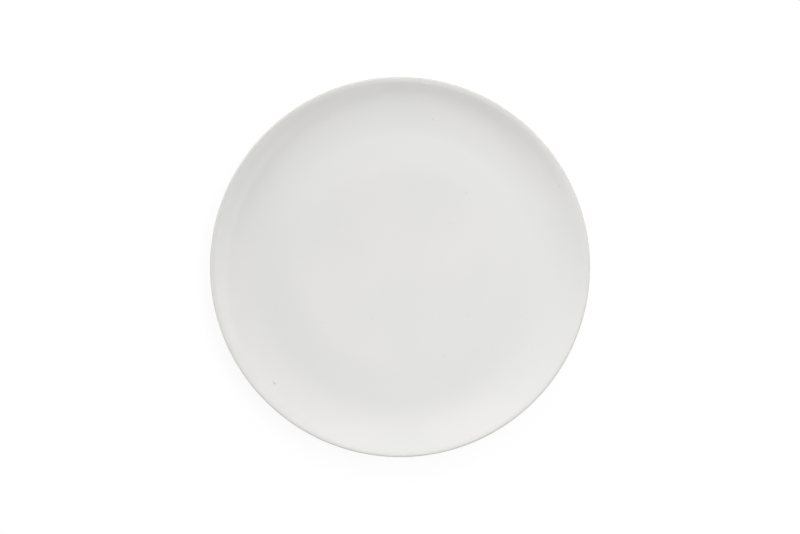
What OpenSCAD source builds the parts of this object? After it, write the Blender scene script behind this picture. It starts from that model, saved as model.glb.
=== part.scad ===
// Coupe dinner plate: a fired porcelain body with two coats of glaze.
// The half section is a chain of tangent arcs, from the middle of the
// underside out round the lip and back over the eating face to the middle.
// It is turned about the plate's axis. Millimetres, +Z up, and the origin is
// the middle of the plane that the foot ring stands on.

/* [Plate] */
// Diameter over the glazed lip
plate_d = 270; // [220:1:320]
// Height from the table to the top of the glazed lip
plate_h = 21; // [20:0.5:26]

/* [Eating face] */
// Slope of the wall below the lip, in degrees
wall_angle = 35; // [32:1:38]
// Radius of the bend from the floor up into the wall
wall_bend_r = 52; // [40:1:56]
// Slope of the floor as it falls from the crest to the wall, in degrees
fall_angle = 4.2; // [2.5:0.1:5]
// How far the floor's soft crest lies inside the middle of the foot ring
crest_inset = 4.5; // [1:0.5:8]
// Radius of the crest's rounding
crest_bend_r = 100; // [60:5:160]
// Slope of the middle of the floor, up to the crest, in degrees
dish_angle = 2.6; // [1.5:0.1:3]
// Diameter of the bowl in the middle, where that slope begins
dish_d = 62; // [40:1:90]

/* [Thickness] */
// Thickness of the clay in the middle of the floor
floor_t = 5; // [4.5:0.1:6]
// Thickness of the clay where the floor is lowest, at the foot of the wall
wall_t = 4.1; // [3.5:0.1:5]
// How much flatter the wall is outside than inside, in degrees
taper_angle = 2; // [0:0.5:3]
// Radius of the lip's underside, up to its widest point
lip_under_r = 2.6; // [2:0.1:3.2]
// Radius of the lip's upper edge
lip_edge_r = 0.9; // [0.6:0.1:1.2]
// Radius of the lip's soft inner shoulder
lip_shoulder_r = 8.5; // [5:0.5:12]
// Slope at which the shoulder meets the edge, in degrees
lip_top_angle = 16; // [10:1:22]

/* [Foot ring] */
// How far the middle of the band that it stands on lies inside the lip
foot_inset = 61; // [54:1:75]
// Width of the flat band that it stands on
foot_band_w = 2.2; // [1.5:0.1:4]
// Height of the ring's outside, from the table to the underside
foot_h = 2.8; // [2.4:0.1:3.2]
// Height of the recess at the crest, from the table to its clay ceiling
recess_h = 4.2; // [3.6:0.1:5.2]
// Slope of the ring's sides, in degrees
foot_side_angle = 62; // [50:1:72]
// Radius of the ring's two worn edges
foot_edge_r = 0.8; // [0.5:0.1:1]
// Radius of the hollow where the ring's sides meet the underside
foot_hollow_r = 2; // [1.5:0.1:2.4]

/* [Glaze] */
// Thickness of the glaze
glaze_t = 0.3; // [0.2:0.05:0.4]
// Height above the table at which the glaze is wiped off the ring
bare_h = 0.8; // [0.6:0.1:1]

/* [Hidden] */
// Largest gap between an arc and the straight steps that stand for it
step_gap = 0.004;
// Fewest steps in an arc
least_steps = 4;
// Colours of the fired clay and of the glaze over it
clay_color = [0.86, 0.84, 0.80];
glaze_color = [0.89, 0.89, 0.88];
$fn = 180;

// A line is a point on it and its direction of travel in degrees. Along the
// whole chain the clay lies on the left of travel, and the outside on the right.
function along(dir) = [cos(dir), sin(dir)];
function outward(dir) = [sin(dir), -cos(dir)];
function line(point, dir) = [point, dir];
function shifted(l, outwards) = line(l[0] + outwards * outward(l[1]), l[1]);
function cross_2d(u, v) = u[0] * v[1] - u[1] * v[0];
function crossing(a, b) =
    let (u = along(a[1]), v = along(b[1]))
    a[0] + cross_2d(b[0] - a[0], v) / cross_2d(u, v) * u;
function at_height(l, z) = l[0] + (z - l[0][1]) / sin(l[1]) * along(l[1]);
function direction(v) = atan2(v[1], v[0]);

// An arc is its centre, its radius, the way it turns (1 round the clay, -1
// round a hollow), and its directions of travel at the start and at the end.
function arc(centre, radius, from, to) = [centre, radius, sign(to - from), from, to];
function bend(a, b, radius) =
    let (way = sign(b[1] - a[1]))
    arc(crossing(shifted(a, -way * radius), shifted(b, -way * radius)), radius, a[1], b[1]);
function arc_point(c, dir, out) = c[0] + c[2] * (c[1] + c[2] * out) * outward(dir);
function arc_steps(c) =
    max(least_steps, ceil(abs(c[4] - c[3]) / (2 * acos(1 - step_gap / c[1]))));
function starting(c) = line(arc_point(c, c[3], 0), c[3]);
function leaving(c) = line(arc_point(c, c[4], 0), c[4]);

// The points along a list of arcs, moved outwards by out. Two arcs that meet
// share one point, and any other two have a straight stretch between them.
function walk(arcs, out) = [
    for (k = [0 : len(arcs) - 1])
        let (
            c = arcs[k],
            steps = arc_steps(c),
            joined = k > 0 && norm(starting(c)[0] - leaving(arcs[k - 1])[0]) < step_gap
        )
        for (i = [joined ? 1 : 0 : steps])
            arc_point(c, c[3] + (c[4] - c[3]) * i / steps, out)
];
function backwards(points) = [for (i = [len(points) - 1 : -1 : 0]) points[i]];

// Sizes of the clay under the glaze
clay_r = plate_d / 2 - glaze_t;
clay_h = plate_h - glaze_t;
foot_r = plate_d / 2 - foot_inset;
crest_r = foot_r - crest_inset;
dish_r = dish_d / 2;
crest_z = recess_h + floor_t;

// Directions of travel back over the eating face
dish_dir = 180 + dish_angle;
fall_dir = 180 - fall_angle;
wall_dir = 180 + wall_angle;
lip_top_dir = 180 + lip_top_angle;

// The lip: a round underside, a small upper edge and a wide inner shoulder. It
// is widest where it stands upright, between the underside and the edge.
under_wall_dir = wall_angle - taper_angle;
upright_dir = 90;
edge_centre = [clay_r - lip_edge_r, clay_h - lip_edge_r];
under_centre = [clay_r - lip_under_r, edge_centre[1]];
lip_under = arc(under_centre, lip_under_r, under_wall_dir, upright_dir);
lip_edge = arc(edge_centre, lip_edge_r, upright_dir, lip_top_dir);
shoulder_centre = edge_centre - (lip_shoulder_r - lip_edge_r) * outward(lip_top_dir);
lip_shoulder = arc(shoulder_centre, lip_shoulder_r, lip_top_dir, wall_dir);

// The eating face, from the wall in to the middle
crest_centre = [crest_r, crest_z - crest_bend_r];
crest = arc(crest_centre, crest_bend_r, fall_dir, dish_dir);
wall_bend = bend(leaving(lip_shoulder), starting(crest), wall_bend_r);
dish_start = leaving(crest)[0];
dish_bend_r = dish_r / sin(dish_angle);
dish_edge_z = dish_start[1] - (dish_start[0] - dish_r) * tan(dish_angle);
dish_centre = [0, dish_edge_z + dish_bend_r * cos(dish_angle)];
dish = arc(dish_centre, dish_bend_r, dish_dir, 180);

// The foot ring, and the ceiling of the recess inside it
side_reach = foot_band_w / 2 + foot_edge_r * tan(foot_side_angle / 2);
stand_line = line([0, 0], 0);
foot_in_line = line([foot_r - side_reach, 0], -foot_side_angle);
foot_out_line = line([foot_r + side_reach, 0], foot_side_angle);
ceiling = arc(dish_centre, dish_bend_r + floor_t, 0, dish_angle);
foot_in_hollow = bend(leaving(ceiling), foot_in_line, foot_hollow_r);
foot_in_edge = bend(foot_in_line, stand_line, foot_edge_r);
foot_out_edge = bend(stand_line, foot_out_line, foot_edge_r);

// The underside, from the foot ring out to the lip. The wall's outside is
// bent to the same radius as its inside, so the clay thins towards the lip.
floor_low = wall_bend[0] - [0, wall_bend_r];
foot_top = at_height(foot_out_line, foot_h);
under_line = line(foot_top, direction(floor_low - [0, wall_t] - foot_top));
foot_out_hollow = bend(foot_out_line, under_line, foot_hollow_r);
under_bend = bend(under_line, starting(lip_under), wall_bend_r);

// The glaze ends on each side of the ring in a round bead, as it does where
// it is wiped off before firing
in_bead_centre = at_height(foot_in_line, bare_h) - glaze_t * along(-foot_side_angle);
out_bead_centre = at_height(foot_out_line, bare_h) + glaze_t * along(foot_side_angle);
in_bead = arc(in_bead_centre, glaze_t, -foot_side_angle, 90 - foot_side_angle);
out_bead = arc(out_bead_centre, glaze_t, foot_side_angle - 90, foot_side_angle);

recess_arcs = [ceiling, foot_in_hollow];
ring_arcs = [foot_in_edge, foot_out_edge];
face_arcs = [
    foot_out_hollow, under_bend, lip_under, lip_edge, lip_shoulder, wall_bend, crest, dish
];

module turned(points) {
    rotate_extrude() polygon(points);
}

// The fired clay, bare only on the band that it stands on
module porcelain_body() {
    color(clay_color) turned(walk(concat(recess_arcs, ring_arcs, face_arcs), 0));
}

// The coat over the eating face and the lip, and down the outside to the ring
module face_glaze() {
    color(glaze_color)
        turned(concat(
            walk([out_bead], 0),
            walk(face_arcs, glaze_t),
            backwards(walk(face_arcs, 0))
        ));
}

// The coat inside the ring, cut off from the other by the bare band
module recess_glaze() {
    color(glaze_color)
        turned(concat(
            walk(recess_arcs, glaze_t),
            walk([in_bead], 0),
            backwards(walk(recess_arcs, 0))
        ));
}

porcelain_body();
face_glaze();
recess_glaze();
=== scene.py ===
# %% [markdown]
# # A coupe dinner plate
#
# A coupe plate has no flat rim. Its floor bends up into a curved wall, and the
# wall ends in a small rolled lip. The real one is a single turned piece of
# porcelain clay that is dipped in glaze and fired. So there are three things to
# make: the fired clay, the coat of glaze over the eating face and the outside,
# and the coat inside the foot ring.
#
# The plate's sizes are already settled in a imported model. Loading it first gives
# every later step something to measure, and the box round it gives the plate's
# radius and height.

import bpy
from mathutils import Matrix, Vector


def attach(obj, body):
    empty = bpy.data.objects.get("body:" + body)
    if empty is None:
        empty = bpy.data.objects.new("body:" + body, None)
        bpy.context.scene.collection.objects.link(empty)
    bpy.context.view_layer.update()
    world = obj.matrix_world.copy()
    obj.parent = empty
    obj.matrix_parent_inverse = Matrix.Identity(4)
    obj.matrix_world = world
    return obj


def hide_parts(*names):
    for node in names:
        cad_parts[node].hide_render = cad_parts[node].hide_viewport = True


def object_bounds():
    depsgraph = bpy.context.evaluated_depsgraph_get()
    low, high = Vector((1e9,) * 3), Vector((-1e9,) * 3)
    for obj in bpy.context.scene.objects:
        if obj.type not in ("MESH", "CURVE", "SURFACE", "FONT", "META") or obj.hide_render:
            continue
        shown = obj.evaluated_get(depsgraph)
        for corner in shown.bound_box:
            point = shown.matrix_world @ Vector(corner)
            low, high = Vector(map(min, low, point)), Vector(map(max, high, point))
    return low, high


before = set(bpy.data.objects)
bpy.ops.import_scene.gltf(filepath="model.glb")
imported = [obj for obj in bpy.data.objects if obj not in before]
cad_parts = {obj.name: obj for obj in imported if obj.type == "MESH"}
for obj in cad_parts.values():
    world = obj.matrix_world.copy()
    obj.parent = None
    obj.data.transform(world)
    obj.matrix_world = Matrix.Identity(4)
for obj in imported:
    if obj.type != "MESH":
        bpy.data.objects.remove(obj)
packed_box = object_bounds()
print("nodes:", sorted(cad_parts))

# %% Modules and units
import math

import bmesh
import bpy
from mathutils import Vector

MM = 0.001
FULL_TURN = 2 * math.pi

lip_r = packed_box[1].x
lip_z = packed_box[1].z
print(f"the plate is {2 * lip_r / MM:.1f} mm across and {lip_z / MM:.1f} mm high")

# %% [markdown]
# ## The camera
#
# The photograph looks straight down on the plate, so the camera hangs over the
# origin and isn't turned at all: a Blender camera looks down its own -Z axis and
# has +Y at the top of the picture. A product is photographed from well back, to
# keep its outline true, and 1.5 m is usual for a plate. The lens then follows
# from one measured fact, the plate's radius in the picture.

# %% Hang the camera over the plate
PICTURE_WIDTH_PX = 800
LIP_RADIUS_PX = 190.2
CAMERA_OVER_LIP = 1.5
SENSOR_MM = 36

camera_data = bpy.data.cameras.new("overhead_camera")
camera_data.sensor_width = SENSOR_MM
camera_data.lens = SENSOR_MM * CAMERA_OVER_LIP * LIP_RADIUS_PX / lip_r / PICTURE_WIDTH_PX
camera = bpy.data.objects.new("overhead_camera", camera_data)
camera.location = (0, 0, lip_z + CAMERA_OVER_LIP)
bpy.context.scene.collection.objects.link(camera)
bpy.context.scene.camera = camera
bpy.context.scene.view_settings.view_transform = "Standard"
print(f"lens {camera_data.lens:.1f} mm, {camera.location.z:.3f} m above the table")

# %% [markdown]
# ## Shader sums as plain Python
#
# A material is a tree of nodes, and a formula of five sums would take five nodes
# and eight links. The Wire class holds one socket and overloads the signs of
# arithmetic, so that a formula on wires is written as it is on paper and adds its
# own Math nodes. The reflected forms let a plain number stand on the left, as in
# 1 - mask. Every other kind of node is made by one method, Bench.node.

# %% A wire that knows arithmetic
class Wire:
    """One output socket. Arithmetic on it adds Math nodes and gives a new wire."""

    def __init__(self, bench, socket):
        self.bench = bench
        self.socket = socket

    def __add__(self, other):
        return self.bench.math("ADD", self, other)

    def __sub__(self, other):
        return self.bench.math("SUBTRACT", self, other)

    def __rsub__(self, other):
        return self.bench.math("SUBTRACT", other, self)

    def __mul__(self, other):
        return self.bench.math("MULTIPLY", self, other)

    __radd__ = __add__
    __rmul__ = __mul__


# %% A bench on which a node tree is put together
class Bench:
    """The node tree of a material, a world or a lamp, and how its nodes are made."""

    def __init__(self, owner):
        owner.use_nodes = True
        owner.node_tree.nodes.clear()
        self.owner = owner
        self.tree = owner.node_tree

    def node(self, kind, settings, sockets, output=0):
        """Adds a node: its settings come first, then the values or wires of its sockets."""
        made = self.tree.nodes.new(kind)
        for name, value in settings.items():
            setattr(made, name, value)
        for name, value in sockets.items():
            if isinstance(value, Wire):
                self.tree.links.new(value.socket, made.inputs[name])
            else:
                made.inputs[name].default_value = value
        return Wire(self, made.outputs[output]) if made.outputs else made

    def math(self, operation, *values):
        """A Math node, with its two values in their order."""
        return self.node("ShaderNodeMath", {"operation": operation}, dict(enumerate(values)))

    def fade(self, value, at_0, at_1):
        """A soft mask: 0 where the value is at_0, 1 where it is at_1."""
        ends = {"Value": value, "From Min": at_0, "From Max": at_1}
        return self.node("ShaderNodeMapRange", {"interpolation_type": "SMOOTHSTEP"}, ends)

    def mix(self, mask, color_0, color_1):
        """One colour where the mask is 0 and the other where it is 1."""
        # A Mix node repeats its sockets' names for each type of data, so that only
        # their numbers tell the colours' own apart.
        sockets = {0: mask, 6: color_0, 7: color_1}
        return self.node("ShaderNodeMix", {"data_type": "RGBA"}, sockets, output=2)

    def vector_math(self, operation, *vectors, output="Vector"):
        """A Vector Math node, whose output is named Value where it gives a number."""
        sockets = dict(enumerate(vectors))
        return self.node("ShaderNodeVectorMath", {"operation": operation}, sockets, output)

    def noise(self, place, grain):
        """Smooth noise from 0 to 1, and Scale is its number of waves in a metre."""
        return self.node("ShaderNodeTexNoise", {}, {"Vector": place, **grain})

    def bump(self, height, distance):
        """A surface that is raised by the distance where the height is 1."""
        return self.node("ShaderNodeBump", {}, {"Height": height, "Distance": distance, "Strength": 1})

    def close(self, output_kind, surface):
        """Ends the tree with its output node and prints how large it has become."""
        self.node(output_kind, {}, {"Surface": surface})
        print(f"{self.owner.name}: {len(self.tree.nodes)} nodes")


# %% [markdown]
# ## A turned piece from its own section
#
# Every piece of a plate is turned on a wheel or pressed by a turning tool, so it
# is round in one direction and has its whole shape in the other. A modeller could
# draw the section again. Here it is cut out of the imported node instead, which
# keeps the sizes exact: a copy of the node's mesh is merged, a cut through the
# axis leaves only the line of the section, and the half on the right is kept.
# Points in the middle of a straight stretch are dissolved.

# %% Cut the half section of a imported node
MERGE_GAP = 0.001 * MM
STRAIGHT_ANGLE = math.radians(0.02)


def half_section(node_name):
    """The outline of the node's right half, as a mesh of edges in the XZ plane."""
    section = bmesh.new()
    section.from_mesh(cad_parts[node_name].data)
    bmesh.ops.remove_doubles(section, verts=section.verts, dist=MERGE_GAP)
    bmesh.ops.bisect_plane(
        section,
        geom=section.verts[:] + section.edges[:] + section.faces[:],
        dist=MERGE_GAP,
        plane_co=(0, 0, 0),
        plane_no=(0, 1, 0),
        clear_inner=True,
        clear_outer=True,
    )
    left_half = [v for v in section.verts if v.co.x < -MERGE_GAP]
    bmesh.ops.delete(section, geom=left_half, context="VERTS")
    bmesh.ops.dissolve_limit(
        section, angle_limit=STRAIGHT_ANGLE, verts=section.verts, edges=section.edges
    )
    print(f"{node_name}: a section of {len(section.edges)} straight steps")
    return section


# %% [markdown]
# The section is then spun, as clay is on the wheel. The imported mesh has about 130
# flats round the lip, which a gloss glaze would show as facets. The spin has 360,
# and smooth shading hides what is left of them. A spin slows down as its mesh
# grows, so a slice of 24 degrees is spun first, and 14 turned copies of the slice
# close the circle. Merging the doubles joins the slices and closes the poles.
# Where two faces meet at more than 40 degrees the edge stays sharp, as at the end
# of a coat.

# %% Turn a section into a piece
SLICES = 15
SLICE_STEPS = 24
SLICE_ANGLE = FULL_TURN / SLICES
SHARP_ANGLE = math.radians(40)


def turned_piece(name, node_name):
    """Spins a node's section into a piece that stands for the node."""
    shape = half_section(node_name)
    upright = {"cent": (0, 0, 0), "axis": (0, 0, 1)}
    outline = shape.verts[:] + shape.edges[:]
    bmesh.ops.spin(shape, geom=outline, angle=SLICE_ANGLE, steps=SLICE_STEPS, **upright)
    slice_parts = shape.verts[:] + shape.edges[:] + shape.faces[:]
    bmesh.ops.spin(
        shape,
        geom=slice_parts,
        angle=FULL_TURN - SLICE_ANGLE,
        steps=SLICES - 1,
        use_duplicate=True,
        **upright,
    )
    bmesh.ops.remove_doubles(shape, verts=shape.verts, dist=MERGE_GAP)
    bmesh.ops.recalc_face_normals(shape, faces=shape.faces)
    for face in shape.faces:
        face.smooth = True
    for edge in shape.edges:
        edge.smooth = edge.calc_face_angle() < SHARP_ANGLE
    mesh = bpy.data.meshes.new(name)
    shape.to_mesh(mesh)
    print(f"{name}: volume {shape.calc_volume(signed=True) / MM**3:.0f} mm3")
    shape.free()
    piece = bpy.data.objects.new(name, mesh)
    bpy.context.scene.collection.objects.link(piece)
    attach(piece, "root")
    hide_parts(node_name)
    mesh.calc_loop_triangles()
    print(f"{name}: {len(mesh.loop_triangles)} triangles")
    return piece


# %% [markdown]
# ## The three pieces
#
# The clay lies inside the two coats and shows only on the narrow band that the
# plate stands on, where the glaze was wiped off so that it wouldn't melt on to
# the kiln shelf. The bare band also parts the glaze into two coats.

# %% Turn the clay and the two coats
fired_body = turned_piece("fired_body", "porcelain_body")
face_coat = turned_piece("face_coat", "face_glaze")
recess_coat = turned_piece("recess_coat", "recess_glaze")

# %% [markdown]
# ## Specks in the glaze
#
# Tiny grains of iron in the clay burn to grey specks in the glaze. The photograph
# shows fourteen. Most are faint and about a millimetre across, and one is larger
# and drawn out, high on the wall at the lower left. Their places are measured on
# the plate in millimetres from its middle. A ray from above finds the height of
# the eating face there, so that a speck is a small ball of colour on the face and
# doesn't show again on the underside.

# %% Find the specks' places on the eating face
SPECKS_MM = {
    "large": [(-89.6, -82.8)],
    "small": [(31.7, -63.8), (23.4, 105.6)],
    "fine": [(113.3, 57.8), (49, -34.5), (47.5, 53), (36.2, 31)],
    "finest": [(130.2, 6.4), (90.6, -37.3), (13.5, 102.1), (-20, -36.8), (-52.3, 105),
               (-72.6, -74), (-67.4, 79)],
}
RAY_START_HEIGHT = 1
STRAIGHT_DOWN = Vector((0, 0, -1))


def on_eating_face(x, y):
    """The point of the eating face over x and y."""
    start = Vector((x, y, RAY_START_HEIGHT))
    _, point, _, _ = face_coat.ray_cast(start, STRAIGHT_DOWN)
    return point


speck_points = {
    kind: [on_eating_face(x * MM, y * MM) for x, y in places]
    for kind, places in SPECKS_MM.items()
}
for kind, points in speck_points.items():
    print(kind, "specks at", [f"{p.z / MM:.1f} mm high" for p in points])

# %% [markdown]
# A speck is a soft mask round its point. A Mapping node of the TEXTURE type moves,
# turns and sizes a pattern as an object is placed, so the distance from the
# speck's point comes out as 1 at its half length and half width. The mask fades
# over that border. Only the large speck is long enough for its turn to show.

# %% Mask the specks
SPECK_HALF_SIZES_MM = {
    "large": (1.55, 0.85),
    "small": (0.8, 0.75),
    "fine": (0.65, 0.6),
    "finest": (0.5, 0.45),
}
SPECK_HALF_HEIGHT = 1 * MM
SPECK_DEPTHS = {"large": 0.24, "small": 0.12, "fine": 0.12, "finest": 0.1}
SPECK_BORDER = (1.3, 0.5)
LARGE_SPECK_TURN = math.radians(-40)


def specks_mask(bench, place):
    """How dark the specks make the glaze: 0 for clean glaze."""
    total = 0
    for kind, points in speck_points.items():
        half_length, half_width = SPECK_HALF_SIZES_MM[kind]
        turn = LARGE_SPECK_TURN if kind == "large" else 0
        for point in points:
            own_place = bench.node(
                "ShaderNodeMapping",
                {"vector_type": "TEXTURE"},
                {
                    "Vector": place,
                    "Location": point,
                    "Rotation": (0, 0, turn),
                    "Scale": (half_length * MM, half_width * MM, SPECK_HALF_HEIGHT),
                },
            )
            distance = bench.vector_math("LENGTH", own_place, output="Value")
            total = total + SPECK_DEPTHS[kind] * bench.fade(distance, *SPECK_BORDER)
    return total


# %% [markdown]
# ## The glaze
#
# The glaze is clear glass over white clay, so its colour is the clay's, a little
# greyer and cooler where the glass is thicker. A wide ring at the wall's foot is
# coloured a little greyer too. At the edge of the lip the glaze draws back and the
# warmer clay shows through there; that ring is also darkened, as painted shade that
# tones down the lip where the light catches it. All of this follows the distance
# from the plate's axis, so rings of colour on that distance make it, with a slow
# noise for a coat that is never quite even.

# %% Colour the glaze: thicker patches, a grey ring, a warm lip with painted shade
CLAY_THROUGH_GLAZE = (0.777, 0.769, 0.758, 1)
GREYER_GLAZE = (0.754, 0.752, 0.745, 1)
# The lip colour: the clay's warmer white through thin glaze, made darker as painted shade where the
# light catches the lip.
THIN_GLAZE_AND_LIP_SHADE = (0.735, 0.721, 0.701, 1)
LEVEL_PART = (1, 1, 0)
# A wide ring at the wall's foot, coloured greyer.
GREY_RING_INNER_EDGE = (61 * MM, 84 * MM)
GREY_RING_OUTER_EDGE = (96 * MM, 124 * MM)
# Where the warm lip ring with its painted shade begins and where it is full.
THIN_AND_SHADED_EDGE = (lip_r - 3.6 * MM, lip_r - 0.9 * MM)
UNEVEN_COAT = {"Scale": 14, "Detail": 3, "Roughness": 0.45}
UNEVEN_COAT_EDGE = (0.35, 0.65)


def glaze_tones_by_place(bench, place):
    """Cool grey in thicker patches and a ring at the wall's foot; at the lip warm, and darker as
    painted shade.
    """
    off_axis = bench.vector_math("MULTIPLY", place, LEVEL_PART)
    radius = bench.vector_math("LENGTH", off_axis, output="Value")
    # A greyer ring at the wall's foot.
    grey_ring = bench.fade(radius, *GREY_RING_INNER_EDGE) - bench.fade(radius, *GREY_RING_OUTER_EDGE)
    uneven = bench.fade(bench.noise(place, UNEVEN_COAT), *UNEVEN_COAT_EDGE)
    greyer_mask = bench.math("MAXIMUM", uneven, grey_ring)
    color = bench.mix(greyer_mask, CLAY_THROUGH_GLAZE, GREYER_GLAZE)
    # Painted shade: the lip ring is darkened as well as warmed.
    return bench.mix(bench.fade(radius, *THIN_AND_SHADED_EDGE), color, THIN_GLAZE_AND_LIP_SHADE)


# %% [markdown]
# The surface of the glaze is smooth but never dead flat: it keeps a slight swell
# from the melt, which only reflections show. A fine noise makes its gloss a little
# uneven too. The face has the specks. The recess is out of sight and stays clean.

# %% Mix the glaze
IRON_GREY = (0.16, 0.15, 0.14, 1)
GLAZE_IOR = 1.52
POLISH = {"Scale": 60, "Detail": 4, "Roughness": 0.6}
SMOOTHEST = 0.035
DULLER_BY = 0.04
SWELL = {"Scale": 160, "Detail": 2, "Roughness": 0.4}
SWELL_HEIGHT = 0.004 * MM


def glaze(name, with_specks):
    """White gloss glaze, with the iron specks or clean."""
    material = bpy.data.materials.new(name)
    bench = Bench(material)
    place = bench.node("ShaderNodeTexCoord", {}, {}, output="Object")
    color = glaze_tones_by_place(bench, place)
    if with_specks:
        color = bench.mix(specks_mask(bench, place), color, IRON_GREY)
    finish = bench.node(
        "ShaderNodeBsdfPrincipled",
        {},
        {
            "Base Color": color,
            "Roughness": SMOOTHEST + DULLER_BY * bench.noise(place, POLISH),
            "IOR": GLAZE_IOR,
            "Normal": bench.bump(bench.noise(place, SWELL), SWELL_HEIGHT),
        },
    )
    bench.close("ShaderNodeOutputMaterial", finish)
    return material


face_coat.data.materials.append(glaze("white_glaze_with_specks", with_specks=True))
recess_coat.data.materials.append(glaze("white_glaze_clean", with_specks=False))

# %% [markdown]
# ## The bare clay
#
# Fired porcelain without glaze is matt and a little warmer than the glaze. The
# band that the plate stands on was ground after firing so that it doesn't
# scratch the table, which leaves it rubbed darker in patches, with a sandy grain.

# %% Mix the fired clay
CLEAN_CLAY = (0.74, 0.71, 0.66, 1)
RUBBED_CLAY = (0.60, 0.57, 0.52, 1)
GRAIN = {"Scale": 3500, "Detail": 4, "Roughness": 0.7}
GRAIN_HEIGHT = 0.03 * MM
RUBBING = {"Scale": 220, "Detail": 5, "Roughness": 0.65}
RUBBING_EDGE = (0.48, 0.68)
RUBBING_DEPTH = 0.55
CLAY_ROUGHNESS = 0.7
ROUGHER_BY = 0.2


def bisque(name):
    """Unglazed porcelain, ground smooth."""
    material = bpy.data.materials.new(name)
    bench = Bench(material)
    place = bench.node("ShaderNodeTexCoord", {}, {}, output="Object")
    grain = bench.noise(place, GRAIN)
    rubbing = bench.fade(bench.noise(place, RUBBING), *RUBBING_EDGE)
    finish = bench.node(
        "ShaderNodeBsdfPrincipled",
        {},
        {
            "Base Color": bench.mix(RUBBING_DEPTH * rubbing, CLEAN_CLAY, RUBBED_CLAY),
            "Roughness": CLAY_ROUGHNESS + ROUGHER_BY * grain,
            "Normal": bench.bump(grain, GRAIN_HEIGHT),
        },
    )
    bench.close("ShaderNodeOutputMaterial", finish)
    return material


fired_body.data.materials.append(bisque("ground_bisque"))

# %% [markdown]
# ## The table
#
# The plate stands on a lit white table. A lamp never lights a floor evenly up to
# pure white, so to the camera and in reflections the floor glows nearly white,
# with just enough lit colour on top to keep the plate's shadow. To the plate the
# table is a dim, slightly cool light from below, which keeps the outside of the
# lip a shade darker than the face. A Light Path node tells the two apart.

# %% Tell what is seen from what only lights
def seen(bench):
    """1 for rays from the camera, a reflection or a refraction, and 0 for light."""
    kinds = ("Is Camera Ray", "Is Glossy Ray", "Is Transmission Ray")
    first, second, third = [
        bench.node("ShaderNodeLightPath", {}, {}, output=kind) for kind in kinds
    ]
    return bench.math("MAXIMUM", bench.math("MAXIMUM", first, second), third)


# %% [markdown]
# Seen from below the floor is clear, so that the foot can be looked at too. It
# lies a hair under the foot, because two faces at the same height would flicker.

# %% Lay the floor
FLOOR_HALF_WIDTH = 6
FLOOR_GAP = 0.05 * MM
LIT_FLOOR = (0.3, 0.3, 0.3, 1)
SEEN_FLOOR = (0.13, 0.13, 0.13, 1)
TABLE_GLOW = (0.353, 0.36, 0.37, 1)
SEEN_GLOW = (0.89, 0.89, 0.89, 1)


def floor_paint():
    """White that glows for what sees it, keeps a shadow and is clear from below."""
    material = bpy.data.materials.new("white_floor")
    bench = Bench(material)
    is_seen = seen(bench)
    color = bench.mix(is_seen, LIT_FLOOR, SEEN_FLOOR)
    glow_color = bench.mix(is_seen, TABLE_GLOW, SEEN_GLOW)
    matt = bench.node("ShaderNodeBsdfDiffuse", {}, {"Color": color})
    glow = bench.node("ShaderNodeEmission", {}, {"Color": glow_color})
    lit = bench.node("ShaderNodeAddShader", {}, {0: matt, 1: glow})
    clear = bench.node("ShaderNodeBsdfTransparent", {}, {})
    underside = bench.node("ShaderNodeNewGeometry", {}, {}, output="Backfacing")
    one_sided = bench.node("ShaderNodeMixShader", {}, {0: underside, 1: lit, 2: clear})
    bench.close("ShaderNodeOutputMaterial", one_sided)
    return material


def table_floor():
    """The white floor that the plate stands on."""
    sheet = bmesh.new()
    bmesh.ops.create_grid(sheet, x_segments=1, y_segments=1, size=FLOOR_HALF_WIDTH)
    bmesh.ops.translate(sheet, verts=sheet.verts, vec=(0, 0, -FLOOR_GAP))
    mesh = bpy.data.meshes.new("table_floor")
    sheet.to_mesh(mesh)
    sheet.free()
    mesh.materials.append(floor_paint())
    floor = bpy.data.objects.new("table_floor", mesh)
    bpy.context.scene.collection.objects.link(floor)
    print(f"{floor.name}: {2 * FLOOR_HALF_WIDTH} m square")


table_floor()

# %% [markdown]
# ## The light
#
# A white plate on white is drawn by its shading alone. Soft light comes from all
# round, as in a white tent. A large softbox beyond the plate's upper edge shades
# the wall that turns away from it and lights the one that faces it, and a second
# one on the left fills. A small lamp on a boom hangs above, a little to the right,
# and is so near that its light falls off from the right side to the left.

# %% Fill the tent with light
TENT_LIGHT = 0.35


def tent_world():
    """Even light from all round, which is seen as pure white."""
    world = bpy.data.worlds.new("white_tent")
    bench = Bench(world)
    is_seen = seen(bench)
    brightness = is_seen + TENT_LIGHT * (1 - is_seen)
    light = bench.node("ShaderNodeBackground", {}, {"Strength": brightness})
    bench.close("ShaderNodeOutputWorld", light)
    return world


bpy.context.scene.world = tent_world()

# %% [markdown]
# Every lamp is a flat rectangle that faces a point. Its radiance is how bright it
# looks, so a larger lamp of the same radiance needs more watts. Places are given
# as a photographer would: the azimuth is counted clockwise from +Y, the top of
# the picture.

# %% A lamp at a place round the plate
def from_plate(azimuth, elevation, distance):
    """The place in that direction from the middle of the plate, angles in degrees."""
    turn, rise = math.radians(azimuth), math.radians(elevation)
    level = math.cos(rise)
    return distance * Vector((math.sin(turn) * level, math.cos(turn) * level, math.sin(rise)))


def lamp(name, place, aim, width, height, radiance):
    """A rectangular area lamp of an even brightness, which no camera sees."""
    lamp_data = bpy.data.lights.new(name, "AREA")
    lamp_data.shape = "RECTANGLE"
    lamp_data.size = width
    lamp_data.size_y = height
    lamp_data.energy = math.pi * width * height * radiance
    placed = bpy.data.objects.new(name, lamp_data)
    placed.location = place
    placed.rotation_euler = (aim - place).to_track_quat("-Z", "Y").to_euler()
    placed.visible_camera = False
    bpy.context.scene.collection.objects.link(placed)
    print(f"{name}: {lamp_data.energy:.1f} W at {[round(c, 2) for c in place]}")
    return placed


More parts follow.
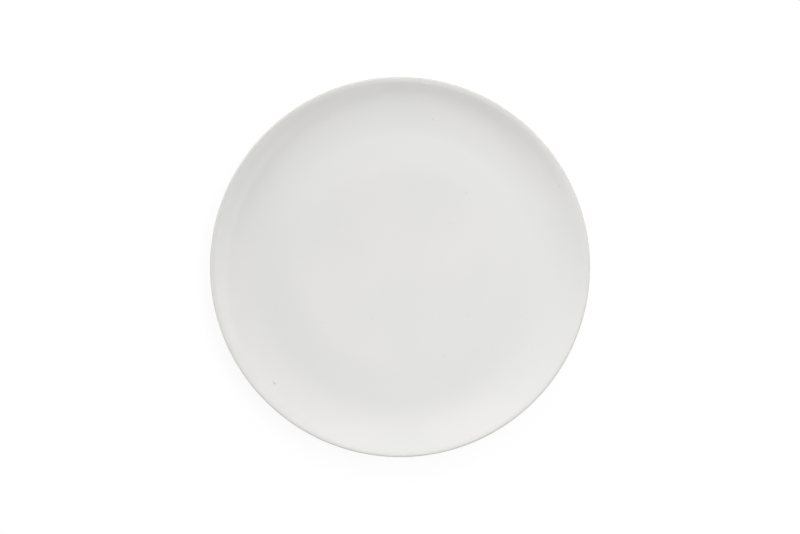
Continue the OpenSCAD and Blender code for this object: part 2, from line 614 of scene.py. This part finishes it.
# %% [markdown]
# A lamp's own reflection would draw a hard band round the glossy wall, which the
# photograph doesn't show, so the softboxes are hidden from reflections.

# %% Place the softboxes
def softbox(name, azimuth, elevation, distance, width, height, radiance):
    """A lamp that faces the plate and has no reflection in the glaze."""
    place = from_plate(azimuth, elevation, distance)
    lamp(name, place, Vector(), width, height, radiance).visible_glossy = False


softbox("key_softbox", azimuth=14, elevation=39, distance=6, width=6, height=4, radiance=2.6)
softbox("fill_softbox", azimuth=270, elevation=22, distance=6, width=6, height=3, radiance=2.1)
softbox("boom_lamp", azimuth=84, elevation=70, distance=1.1, width=0.5, height=0.5, radiance=5.65)

# %% [markdown]
# What the photograph does show in the glaze is the edge of a white card that
# stands on the right, as one faint arc along the left wall, and a fainter one on
# the opposite side. Those cards are lamps that only reflections see. They start
# well above the table: a glaze mirrors most at a low angle, so a card that came
# further down would flood the plate's floor when it is seen from the side.

# %% Stand the cards
CARD_DISTANCE = 1.5
CARD_BOTTOM = 0.65


def card(name, azimuth, width, top, radiance):
    """An upright card that only shows as a reflection in the glaze."""
    middle = Vector((0, 0, (CARD_BOTTOM + top) / 2))
    place = from_plate(azimuth, 0, CARD_DISTANCE) + middle
    lamp(name, place, middle, width, top - CARD_BOTTOM, radiance).visible_diffuse = False


card("right_card", azimuth=119, width=4.4, top=1.4, radiance=0.7)
card("left_card", azimuth=285, width=2.6, top=1.6, radiance=0.2)

# %% [markdown]
# The upper wall carries one more reflection in the photograph: a broad sheen that
# has no edge anywhere. A scrim makes it, a lamp whose light fades from its middle
# to its border. A lamp can have nodes too, and Parametric gives the place on it,
# from 0 to 1 each way.

# %% Hang a scrim with no edge
SCRIM_MIDDLE = (0.5, 0.5, 0)
SCRIM_BORDER = 0.5


def scrim(name, azimuth, elevation, distance, width, height, radiance):
    """A lamp that only reflections see, bright in the middle and dark at its border."""
    place = from_plate(azimuth, elevation, distance)
    placed = lamp(name, place, Vector(), width, height, radiance)
    placed.visible_diffuse = False
    bench = Bench(placed.data)
    spot = bench.node("ShaderNodeNewGeometry", {}, {}, output="Parametric")
    off_middle = bench.vector_math("DISTANCE", spot, SCRIM_MIDDLE, output="Value")
    strength = bench.fade(off_middle, SCRIM_BORDER, 0)
    glow = bench.node("ShaderNodeEmission", {}, {"Strength": strength})
    bench.close("ShaderNodeOutputLight", glow)


scrim("lower_scrim", azimuth=180, elevation=52, distance=2.3, width=2.8, height=4, radiance=1.2)
